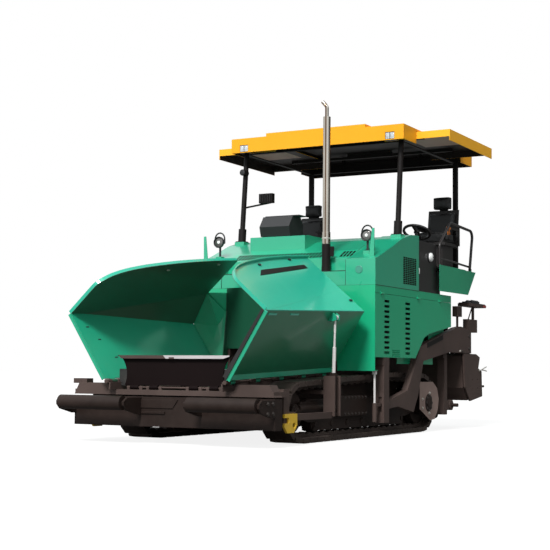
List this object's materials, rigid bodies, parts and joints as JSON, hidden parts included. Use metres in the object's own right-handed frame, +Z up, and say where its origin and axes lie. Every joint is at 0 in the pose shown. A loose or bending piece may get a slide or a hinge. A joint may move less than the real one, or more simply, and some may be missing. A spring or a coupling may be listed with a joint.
{
  "type": "asphalt paver",
  "caption": "Tracked road paver: front hopper with tilting wings, slatted floor, augers, sliding seat stations under a canopy, and a towed screed on long arms.",
  "frame": {"origin": "on the ground under the middle of the overall box, midway between the tracks", "axes": "+X forward over the hopper and push rollers, +Y to the machine's left, +Z up"},
  "size_m": [6.596, 3.388, 4.0652],
  "materials": {
    "paint": "gloss",
    "chassis": "satin",
    "canopy": "gloss",
    "yellow": "satin",
    "track": "dull",
    "steel": "satin",
    "chrome": "polished",
    "lamp": "satin",
    "seat": "satin",
    "engine": "dull",
    "plastic": "satin"
  },
  "bodies": {
    "tractor": {"main_frame": "chassis", "slat_conveyor": "steel", "body_shell": "paint", "engine_block": "engine", "hood": "paint", "platform": "chassis", "console": "plastic", "canopy_posts": "chassis", "canopy_roof": "canopy", "exhaust_guard": "chassis", "exhaust_pipe": "chrome", "headlamps": "lamp", "tow_hooks": "yellow", "tow_rods": "chrome", "track_left": "track", "track_right": "track", "undercarriage_left": "chassis", "undercarriage_right": "chassis"},
    "front_apron": {"front_apron": "chassis"},
    "push_beam": {"push_beam": "chassis"},
    "push_roller_left": {"push_roller_left": "chassis"},
    "push_roller_right": {"push_roller_right": "chassis"},
    "wing_left": {"wing_left": "paint"},
    "wing_right": {"wing_right": "paint"},
    "wing_barrel_left": {"wing_barrel_left": "chassis"},
    "wing_barrel_right": {"wing_barrel_right": "chassis"},
    "wing_rod_left": {"wing_rod_left": "chrome"},
    "wing_rod_right": {"wing_rod_right": "chrome"},
    "side_door_left": {"side_door_left": "paint"},
    "side_door_right": {"side_door_right": "paint"},
    "canopy_wing_left": {"canopy_wing_left": "canopy"},
    "canopy_wing_right": {"canopy_wing_right": "canopy"},
    "seat_station_left": {"seat_station_left": "paint", "seat_cushions_left": "seat"},
    "seat_station_right": {"seat_station_right": "paint", "seat_cushions_right": "seat"},
    "tow_slides": {"tow_slides": "chassis"},
    "screed": {"screed_arms": "chassis", "screed": "chassis"},
    "screed_extension_left": {"screed_extension_left": "chassis"},
    "screed_extension_right": {"screed_extension_right": "chassis"},
    "lift_barrels": {"lift_barrels": "chassis"},
    "lift_rods": {"lift_rods": "chrome"},
    "auger_left": {"auger_left": "chassis"},
    "auger_right": {"auger_right": "chassis"}
  },
  "joints": [
    {"name": "front_apron_hinge", "type": "hinge", "parent": "tractor", "child": "front_apron", "pos_m": [2.873, 0, 0.585], "axis": [0, 1, 0], "range_deg": [0, 75]},
    {"name": "push_beam_pivot", "type": "hinge", "parent": "tractor", "child": "push_beam", "pos_m": [2.735, 0, 0.335], "axis": [0, 0, 1], "range_deg": [-3, 3]},
    {"name": "push_roller_left_spin", "type": "hinge", "parent": "push_beam", "child": "push_roller_left", "pos_m": [3.223, 0, 0.425], "axis": [0, 1, 0], "continuous": true},
    {"name": "wing_left_hinge", "type": "hinge", "parent": "tractor", "child": "wing_left", "pos_m": [3.07, 0.738, 0.647], "axis": [0.9992, 0, -0.0396], "range_deg": [-35, 5]},
    {"name": "wing_barrel_left_hinge", "type": "hinge", "parent": "tractor", "child": "wing_barrel_left", "pos_m": [1.48729, 1.168, 0.35746], "axis": [0.9992, 0, -0.0396], "range_deg": [-27, 4]},
    {"name": "wing_rod_left_slide", "type": "slide", "parent": "wing_barrel_left", "child": "wing_rod_left", "axis": [0.0396, 0.0458, 0.9982], "range_m": [-0.31, 0.05]},
    {"name": "side_door_left_hinge", "type": "hinge", "parent": "tractor", "child": "side_door_left", "pos_m": [0, 1.256, 1.696], "axis": [1, 0, 0], "range_deg": [0, 80]},
    {"name": "canopy_wing_left_slide", "type": "slide", "parent": "tractor", "child": "canopy_wing_left", "axis": [0, 1, 0], "range_m": [-0.4, 0]},
    {"name": "seat_station_left_slide", "type": "slide", "parent": "tractor", "child": "seat_station_left", "axis": [0, 1, 0], "range_m": [0, 0.35]},
    {"name": "screed_extension_left_slide", "type": "slide", "parent": "screed", "child": "screed_extension_left", "axis": [0, 1, 0], "range_m": [0, 0.9]},
    {"name": "auger_left_spin", "type": "hinge", "parent": "tractor", "child": "auger_left", "pos_m": [-2.165, 0, 0.33], "axis": [0, 1, 0], "continuous": true},
    {"name": "push_roller_right_spin", "type": "hinge", "parent": "push_beam", "child": "push_roller_right", "pos_m": [3.223, 0, 0.425], "axis": [0, 1, 0], "continuous": true},
    {"name": "wing_right_hinge", "type": "hinge", "parent": "tractor", "child": "wing_right", "pos_m": [3.07, -0.738, 0.647], "axis": [-0.9992, 0, 0.0396], "range_deg": [-35, 5]},
    {"name": "wing_barrel_right_hinge", "type": "hinge", "parent": "tractor", "child": "wing_barrel_right", "pos_m": [1.48729, -1.168, 0.35746], "axis": [-0.9992, 0, 0.0396], "range_deg": [-27, 4]},
    {"name": "wing_rod_right_slide", "type": "slide", "parent": "wing_barrel_right", "child": "wing_rod_right", "axis": [0.0396, -0.0458, 0.9982], "range_m": [-0.31, 0.05]},
    {"name": "side_door_right_hinge", "type": "hinge", "parent": "tractor", "child": "side_door_right", "pos_m": [0, -1.256, 1.696], "axis": [-1, 0, 0], "range_deg": [0, 80]},
    {"name": "canopy_wing_right_slide", "type": "slide", "parent": "tractor", "child": "canopy_wing_right", "axis": [0, -1, 0], "range_m": [-0.4, 0]},
    {"name": "seat_station_right_slide", "type": "slide", "parent": "tractor", "child": "seat_station_right", "axis": [0, -1, 0], "range_m": [0, 0.35]},
    {"name": "screed_extension_right_slide", "type": "slide", "parent": "screed", "child": "screed_extension_right", "axis": [0, -1, 0], "range_m": [0, 0.9]},
    {"name": "auger_right_spin", "type": "hinge", "parent": "tractor", "child": "auger_right", "pos_m": [-2.165, 0, 0.33], "axis": [0, 1, 0], "continuous": true},
    {"name": "tow_slides_lift", "type": "slide", "parent": "tractor", "child": "tow_slides", "axis": [0, 0, 1], "range_m": [-0.06, 0.06]},
    {"name": "screed_lift", "type": "hinge", "parent": "tow_slides", "child": "screed", "pos_m": [0.195, 0, 0.385], "axis": [0, 1, 0], "range_deg": [-6, 2]},
    {"name": "lift_barrels_hinge", "type": "hinge", "parent": "tractor", "child": "lift_barrels", "pos_m": [-2.05, 0, 1.72], "axis": [0, 1, 0], "range_deg": [-7.5, 3]},
    {"name": "lift_rods_slide", "type": "slide", "parent": "lift_barrels", "child": "lift_rods", "axis": [-0.613, 0, -0.7901], "range_m": [-0.1, 0.28]}
  ],
  "couplings": [
    {"joint": "wing_barrel_left_hinge", "follows": "wing_left_hinge", "ratio": 0.74},
    {"joint": "wing_rod_left_slide", "follows": "wing_left_hinge", "m_per_rad": 0.5},
    {"joint": "wing_barrel_right_hinge", "follows": "wing_right_hinge", "ratio": 0.74},
    {"joint": "wing_rod_right_slide", "follows": "wing_right_hinge", "m_per_rad": 0.5},
    {"joint": "lift_barrels_hinge", "follows": "screed_lift", "ratio": 1.18},
    {"joint": "lift_rods_slide", "follows": "screed_lift", "m_per_rad": -2.6}
  ]
}
